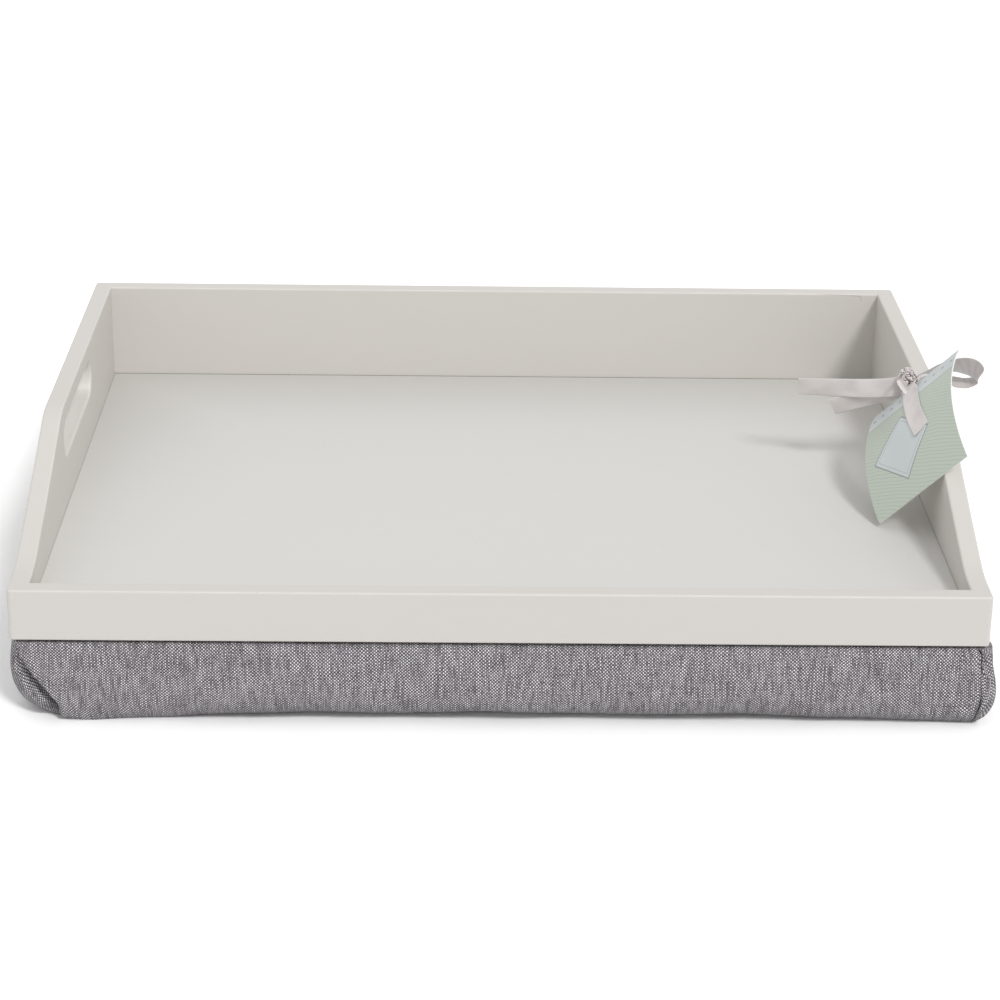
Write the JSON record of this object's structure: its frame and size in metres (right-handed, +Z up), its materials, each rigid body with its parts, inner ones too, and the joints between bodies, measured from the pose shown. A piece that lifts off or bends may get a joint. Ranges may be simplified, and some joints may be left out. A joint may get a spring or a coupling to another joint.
{
  "type": "lap tray with cushion",
  "caption": "Painted wooden lap tray with swept sides and hand slots, on a grey woven bead cushion, with a ribbon and a blank swing tag.",
  "frame": {"origin": "on the surface that the cushion stands on, under the middle of the tray", "axes": "+X to the user's right, +Y from the low front rail to the high back wall, +Z up"},
  "size_m": [0.4755, 0.334, 0.132],
  "materials": {
    "paint": "satin",
    "pin_steel": "satin",
    "weave": "matte",
    "liner": "matte",
    "beads": "matte",
    "hook_tape": "matte",
    "loop_tape": "matte",
    "ribbon": "satin",
    "card": "satin"
  },
  "bodies": {
    "cushion": {"cushion_cover": "weave", "cushion_top_panel": "weave", "bead_liner": "liner", "bead_filling": "beads", "loop_strip_front": "loop_tape", "loop_strip_back": "loop_tape", "loop_strip_left": "loop_tape", "loop_strip_right": "loop_tape"},
    "tray": {"front_rail": "paint", "back_wall": "paint", "left_side": "paint", "right_side": "paint", "base_panel": "paint", "front_corner_pins": "pin_steel", "back_corner_pins": "pin_steel", "hook_strip_front": "hook_tape", "hook_strip_back": "hook_tape", "hook_strip_left": "hook_tape", "hook_strip_right": "hook_tape", "hanging_ribbon": "ribbon", "tag_tie": "ribbon"},
    "tag": {"swing_tag": "card", "front_tail": "ribbon"}
  },
  "joints": [
    {"name": "tray_lift", "type": "slide", "parent": "cushion", "child": "tray", "axis": [0, 0, 1], "range_m": [0, 0.15]},
    {"name": "tag_swing", "type": "hinge", "parent": "tray", "child": "tag", "pos_m": [0.20316, -0.0089, 0.10586], "axis": [-0.564, 0.3891, -0.7284], "range_deg": [0, 40]}
  ]
}
